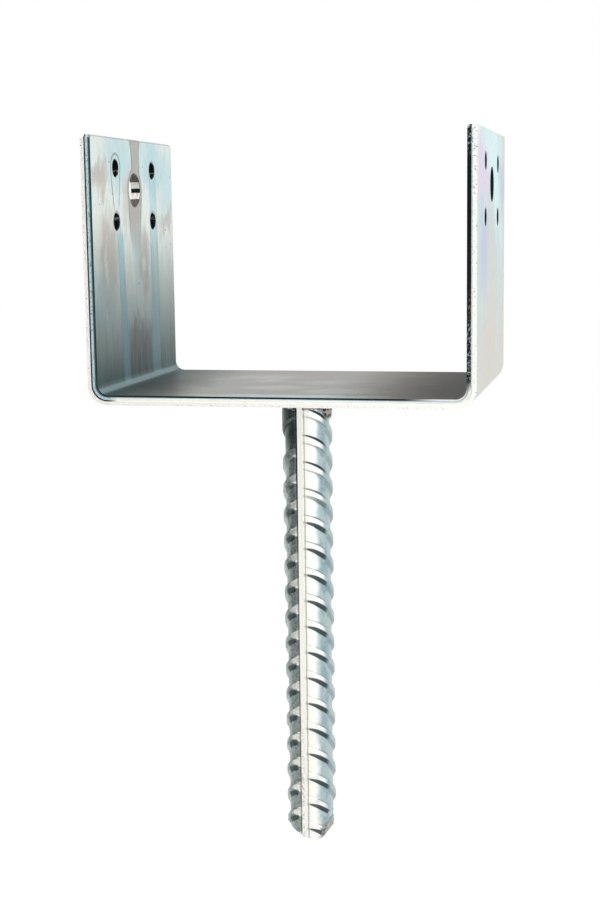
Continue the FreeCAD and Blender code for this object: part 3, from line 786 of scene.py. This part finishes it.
    def left_ribs(self, face):
        """A painted highlight as a wedge by the seam, a painted shade spot below it, a thin
        painted shade line above it.
        """
        look, side, low, over_left = self.look, self.side, self.low, self.over_left
        on_left = self.turn.fall(-2.0, 0.0)
        wedge = 0.2 + side.fall(14.0, 42.0) * 1.7
        # Painted highlight by the seam, missing high up under the strip.
        bright = (abs(over_left - 0.3) - wedge).fall(0.0, 0.6) * side.fall(30.0, 46.0)
        face = self.mix(bright * on_left * self.z.fall(-34.0, -26.0) * 0.9, face, look.bright)
        # Painted shade below the rib.
        spot = (over_left + 2.3 + (self.rough - 0.5) * 2.0).band(0.0, 0.8, 0.6)
        spot = spot * side.band(36.0, 12.0, 9.0) * (0.45 + low * 0.55)
        face = self.mix(spot * on_left * 0.9, face, look.under)
        # Painted shade line above the rib, fainter low down.
        line = (over_left - 2.1).band(0.0, 0.2, 0.5) * side.rise(18.0, 40.0)
        line = line * side.fall(76.0, 90.0) * (1.0 - low * 0.6)
        return self.mix(line * on_left * 0.8, face, look.under)

    def lengthwise_ribs(self, face):
        """Crests with a painted highlight between two thin lines of painted shade, in front and at
        the back.
        """
        look, z = self.look, self.z
        seam = MM * look.seam
        crest_side = self.across + (self.rough - 0.5) * 0.3
        on_seam = abs(crest_side).fall(seam + 0.1, seam + 0.3)
        # Painted highlight on the crest.
        face = self.mix(on_seam, face, look.bright)
        # Pits on the front crest low down, in the left side's painted shade colour.
        pitted = self.rough.rise(0.46, 0.58) * (crest_side * -1.0).rise(-1.0, 0.6)
        face = self.mix(pitted * z.fall(-180.0, -120.0) * on_seam * 0.6, face, look.dull_and_shaded)
        # Painted shade: a dark line by the crest's left flank and a faint one by its right.
        left_line = (crest_side + seam + 0.55).band(0.0, 0.42, 0.25)
        left_line = left_line * (0.62 + z.rise(-90.0, -30.0) * 0.38)
        right_line = (crest_side - seam - 0.45).band(0.0, 0.08, 0.26) * 0.5
        in_front = self.back.fall(-9.0, -8.0)
        face = self.mix(left_line.most(right_line) * in_front, face, look.under)
        back_line = (abs(self.across) - seam - 0.45).band(0.0, 0.15, 0.3)
        return self.mix(back_line * self.back.rise(8.0, 9.0) * 0.6, face, look.under)

    def sheared_end(self, face):
        """The sheared and pressed end: muted grey, pitted, with a dark line over it."""
        look, z, turn = self.look, self.z, self.turn
        nz = self.parts(self.facing)[2]
        end = nz.fall(-0.75, -0.45) * z.fall(BAR_END + 9.0, BAR_END + 14.0)
        worked = (z.fall(BAR_END + 6.0, BAR_END + 7.5) * turn.rise(40.0, 46.0)).most(end)
        face = self.mix(worked * 0.85, face, look.pressed)
        rim = (z - BAR_END - 7.4 + turn.band(48.0, 0.0, 30.0) * 3.0).band(0.0, 0.3, 0.5)
        face = self.mix(rim * turn.rise(34.0, 42.0) * 0.7, face, look.under)
        return self.mix(worked * self.rough.rise(0.5, 0.62) * 0.5, face, look.under)


def weld_metal(look):
    """Zinc over weld metal: pale lumps with dark hollows."""
    metal = Surface("weld_metal")
    grain = metal.cloud((0.8, 0.8, 0.8), detail=4.0, roughness=0.7)
    lumps = metal.cloud((2.0, 2.0, 1.6), (3.0, 1.0, 2.0), 3.0)
    face = metal.mix(lumps.rise(0.55, 0.6), look.pale, look.dark)
    face = metal.toned(face, 0.9 + grain * 0.2)
    roughness = look.roughness + (grain - 0.5) * 0.2
    return metal.finished(face, roughness, look.metal, grain + lumps * 2.0, look.relief)


def floor_paint(look):
    """Matt white paint with a faint mottle, plain white where the camera looks."""
    paint = Surface("floor_paint")
    mottle = paint.cloud((60.0, 60.0, 60.0))
    face = paint.mix(mottle, FLOOR_DARK, FLOOR_PALE)
    matt = paint.node("ShaderNodeBsdfDiffuse", {}, {"Color": face})
    white = paint.node("ShaderNodeEmission", {}, {"Color": WHITE, "Strength": look.floor_glow})
    surface = paint.node(
        "ShaderNodeMixShader", {}, {0: paint.seen() * look.floor_white, 1: matt, 2: white})
    paint.node("ShaderNodeOutputMaterial", {}, {"Surface": surface})
    return paint.owner


def card_paint(look):
    """Matt paint on the shading card."""
    paint = Surface("card_paint")
    mottle = paint.cloud((80.0, 80.0, 80.0))
    face = paint.mix(mottle * 0.2, look.card, BLACK)
    surface = paint.node("ShaderNodeBsdfDiffuse", {}, {"Color": face})
    paint.node("ShaderNodeOutputMaterial", {}, {"Surface": surface})
    return paint.owner


def dress(node, material):
    """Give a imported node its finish."""
    body = frame["nodes"][node]
    body.data.materials.clear()
    body.data.materials.append(material)


def nothing_selected():
    """Clear the selection before something new is added."""
    bpy.ops.object.select_all(action="DESELECT")


class POSTBASE_OT_strip(bpy.types.Operator):
    """Give the folded strip its stained zinc"""

    bl_idname = "postbase.strip"
    bl_label = "Finish the strip"

    def execute(self, context):
        look = context.scene.postbase_strip
        dress("saddle", StripZinc(look).made())
        return {"FINISHED"}


class POSTBASE_OT_bar(bpy.types.Operator):
    """Give the ribbed bar its zinc"""

    bl_idname = "postbase.bar"
    bl_label = "Finish the bar"

    def execute(self, context):
        look = context.scene.postbase_bar
        dress("anchor_bar", BarZinc(look).made())
        return {"FINISHED"}


class POSTBASE_OT_weld(bpy.types.Operator):
    """Lay the weld bead round the bar, under the strip"""

    bl_idname = "postbase.weld"
    bl_label = "Lay the weld"

    # Slope of the fillet: a stretch of the bead's height about its middle, and the share of its
    # width that it keeps there.
    taper = ((0.1, 0.6, 1.1), (-0.1, 0.1, 0.72), (-0.6, -0.1, 0.45))
    outline_points = 12
    spin_steps = 144
    overlap = 0.0004  # how far the bead goes into the strip, in metres
    merge = 0.00001  # points nearer than this become one, in metres
    front_turn = 0.56  # radians from the front to the middle of the bead's short side
    front_edge, front_width = -0.35, 0.6  # the cosine where that side sets in, and its rise
    ripple_lean = 900.0  # radians that a ripple turns in a metre of height
    lump_size = 0.0022  # metres
    smooth_below = math.radians(40.0)

    def execute(self, context):
        look = context.scene.postbase_weld
        bead = self.ring(look)
        self.swell(bead, self.front_share(bead, look), look.drop * look.front, "Z")
        self.swell(bead, self.ripple_share(bead, look), look.swell, "NORMAL")
        self.roughen(bead, look)
        self.close()
        bead.data.materials.append(weld_metal(look))
        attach(bead, "root")
        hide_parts("weld_collar")
        return {"FINISHED"}

    def ring(self, look):
        """Spin the bead's outline once round the bar."""
        nothing_selected()
        bpy.ops.mesh.primitive_circle_add(
            vertices=self.outline_points, radius=0.5, fill_type="NOTHING",
            location=(0.0, 0.0, 0.0), rotation=(math.pi / 2, 0.0, 0.0))
        bead = bpy.context.object
        bead.name = "weld_bead"
        bpy.ops.object.transform_apply(location=True, rotation=True, scale=True)
        width = look.reach - look.root
        bpy.ops.object.mode_set(mode="EDIT")
        bpy.ops.mesh.select_all(action="SELECT")
        bpy.ops.transform.resize(value=(width, 1.0, look.drop), center_override=(0.0, 0.0, 0.0))
        middle = STRIP_BOX[0][2] + self.overlap - look.drop / 2
        bpy.ops.transform.translate(value=(look.root + width / 2, 0.0, middle))
        for low, high, share in self.taper:
            self.pick(bead, middle + low * look.drop, middle + high * look.drop)
            bpy.ops.transform.resize(
                value=(share, 1.0, 1.0), center_override=(look.root, 0.0, 0.0))
        bpy.ops.mesh.select_all(action="SELECT")
        bpy.ops.mesh.spin(
            steps=self.spin_steps, angle=2 * math.pi, center=(0.0, 0.0, 0.0),
            axis=(0.0, 0.0, 1.0))
        bpy.ops.mesh.select_all(action="SELECT")
        bpy.ops.mesh.remove_doubles(threshold=self.merge)
        bpy.ops.object.mode_set(mode="OBJECT")
        return bead

    def pick(self, bead, low, high):
        """Select the points between two heights."""
        bpy.ops.mesh.select_all(action="DESELECT")
        bpy.ops.object.mode_set(mode="OBJECT")
        for point in bead.data.vertices:
            point.select = low < point.co.z < high
        bpy.ops.object.mode_set(mode="EDIT")

    def front_share(self, bead, look):
        """How much of the rise each point takes: all of it low down on the short side."""
        top = STRIP_BOX[0][2]
        shares = {}
        for point in bead.data.vertices:
            x, y, z = point.co
            turned = math.cos(math.atan2(x, -y) + self.front_turn)
            front = min(1.0, max(0.0, (turned - self.front_edge) / self.front_width))
            shares[point.index] = front * min(1.0, max(0.0, (top - z) / look.drop))
        return shares

    def ripple_share(self, bead, look):
        """How far out each point stands on the ripples, which lean as they go round."""
        shares = {}
        for point in bead.data.vertices:
            x, y, z = point.co
            ripple = math.atan2(y, x) * look.ripples + z * self.ripple_lean
            shares[point.index] = 0.5 + 0.5 * math.cos(ripple)
        return shares

    def swell(self, bead, shares, height, direction):
        """Move each point by its share of the height, with a modifier that is then applied."""
        group = bead.vertex_groups.new(name="share")
        for index, share in shares.items():
            group.add([index], share, "REPLACE")
        push = bead.modifiers.new("push", "DISPLACE")
        push.vertex_group = group.name
        push.direction = direction
        push.mid_level = 0.0
        push.strength = height
        bpy.ops.object.modifier_apply(modifier=push.name)
        bead.vertex_groups.clear()

    def roughen(self, bead, look):
        """Uneven lumps all over the bead."""
        texture = bpy.data.textures.new("weld_lumps", "CLOUDS")
        texture.noise_scale = self.lump_size
        texture.noise_depth = 2
        push = bead.modifiers.new("lumps", "DISPLACE")
        push.texture = texture
        push.texture_coords = "LOCAL"
        push.strength = look.lumps
        bpy.ops.object.modifier_apply(modifier=push.name)

    def close(self):
        """Turn the faces outward and smooth the bead."""
        bpy.ops.object.mode_set(mode="EDIT")
        bpy.ops.mesh.select_all(action="SELECT")
        bpy.ops.mesh.normals_make_consistent(inside=False)
        bpy.ops.object.mode_set(mode="OBJECT")
        bpy.ops.object.shade_smooth_by_angle(angle=self.smooth_below)


class POSTBASE_OT_stage(bpy.types.Operator):
    """Set up the floor, the white surroundings, the lamps, the card and the camera"""

    bl_idname = "postbase.stage"
    bl_label = "Set up the studio"

    # Places and sizes in metres. Each lamp: its name, its power in the look, place and size.
    lamps = (
        ("key_lamp", "key", (1.05, -1.0, 0.45), (0.8, 1.5)),
        ("top_lamp", "fill", (-0.3, -0.5, 1.4), (1.2, 1.2)),
    )
    card_place = (-0.75, -0.35, -0.1)
    card_size = (0.9, 1.2, 1.0)
    card_facing = (math.radians(90.0), 0.0, math.radians(90.0))
    sensor_width = 36.0

    def execute(self, context):
        look = context.scene.postbase_studio
        self.surroundings(context.scene, look)
        self.floor(look)
        for name, power, place, size in self.lamps:
            self.lamp(name, getattr(look, power), place, size)
        self.card(look)
        self.camera(context.scene, look)
        context.scene.view_settings.view_transform = "Standard"
        return {"FINISHED"}

    def surroundings(self, scene, look):
        """Even light all round, plain white where the camera or a mirror looks."""
        room = Finish(bpy.data.worlds.new("white_room"))
        scene.world = room.owner
        strength = room.node(
            "ShaderNodeMapRange", {},
            {"Value": room.seen(), "To Min": look.ambient, "To Max": 1.0})
        light = room.node(
            "ShaderNodeBackground", {}, {"Color": WHITE, "Strength": strength})
        room.node("ShaderNodeOutputWorld", {}, {"Surface": light})

    def floor(self, look):
        """A wide floor some way below the bar's end."""
        nothing_selected()
        bpy.ops.mesh.primitive_plane_add(
            size=look.floor_size, location=(0.0, 0.0, BAR_BOX[0][2] - look.drop))
        floor = bpy.context.object
        floor.name = "floor"
        floor.data.materials.append(floor_paint(look))

    def lamp(self, name, power, place, size):
        """A large soft lamp that faces the origin."""
        light = bpy.data.lights.new(name, "AREA")
        light.shape = "RECTANGLE"
        light.size, light.size_y = size
        light.energy = power
        lamp = bpy.data.objects.new(name, light)
        bpy.context.scene.collection.objects.link(lamp)
        lamp.location = place
        lamp.rotation_euler = (-Vector(place)).to_track_quat("-Z", "Y").to_euler()

    def card(self, look):
        """An upright card on the left that only shows in the metal."""
        nothing_selected()
        bpy.ops.mesh.primitive_plane_add(size=1.0, location=self.card_place)
        card = bpy.context.object
        card.name = "left_card"
        card.scale = self.card_size
        card.rotation_euler = self.card_facing
        card.visible_camera = False
        card.visible_shadow = False
        card.data.materials.append(card_paint(look))

    def camera(self, scene, look):
        """The camera, turned and dipped from level, then leaned."""
        camera = bpy.data.cameras.new("camera")
        camera.lens = look.lens
        camera.sensor_width = self.sensor_width
        holder = bpy.data.objects.new("camera", camera)
        scene.collection.objects.link(holder)
        level = Euler((math.pi / 2 - look.camera_dip, 0.0, look.camera_turn)).to_matrix()
        lean = Matrix.Rotation(look.camera_roll, 3, "Z")
        holder.rotation_euler = (level @ lean).to_euler()
        holder.location = look.camera_place
        scene.camera = holder


class POSTBASE_PT_panel(bpy.types.Panel):
    """The steps that finish the post base, in order"""

    bl_idname = "POSTBASE_PT_panel"
    bl_label = "Timber Post Base"
    bl_space_type = "VIEW_3D"
    bl_region_type = "UI"
    bl_category = "Post Base"

    def draw(self, context):
        for step in STEPS:
            self.layout.operator(step.bl_idname)
        for group in LOOKS:
            look = getattr(context.scene, group)
            box = self.layout.box()
            for name in look.bl_rna.properties.keys():
                if name not in ("rna_type", "name"):
                    box.prop(look, name)


STEPS = [POSTBASE_OT_strip, POSTBASE_OT_bar, POSTBASE_OT_weld, POSTBASE_OT_stage]
LOOKS = {
    "postbase_strip": StripLook,
    "postbase_bar": BarLook,
    "postbase_weld": WeldLook,
    "postbase_studio": StudioLook,
}


def register():
    """Register the looks, the steps and the panel."""
    for group in [*LOOKS.values(), *STEPS, POSTBASE_PT_panel]:
        bpy.utils.register_class(group)
    for name, group in LOOKS.items():
        setattr(bpy.types.Scene, name, bpy.props.PointerProperty(type=group))


def unregister():
    """Take away what register added."""
    for name in LOOKS:
        delattr(bpy.types.Scene, name)
    for group in [POSTBASE_PT_panel, *reversed(STEPS), *reversed(LOOKS.values())]:
        bpy.utils.unregister_class(group)


def main():
    """Run every step in order."""
    register()
    bpy.ops.postbase.strip()
    bpy.ops.postbase.bar()
    bpy.ops.postbase.weld()
    bpy.ops.postbase.stage()
    bpy.context.view_layer.update()


if __name__ == "__main__":
    main()
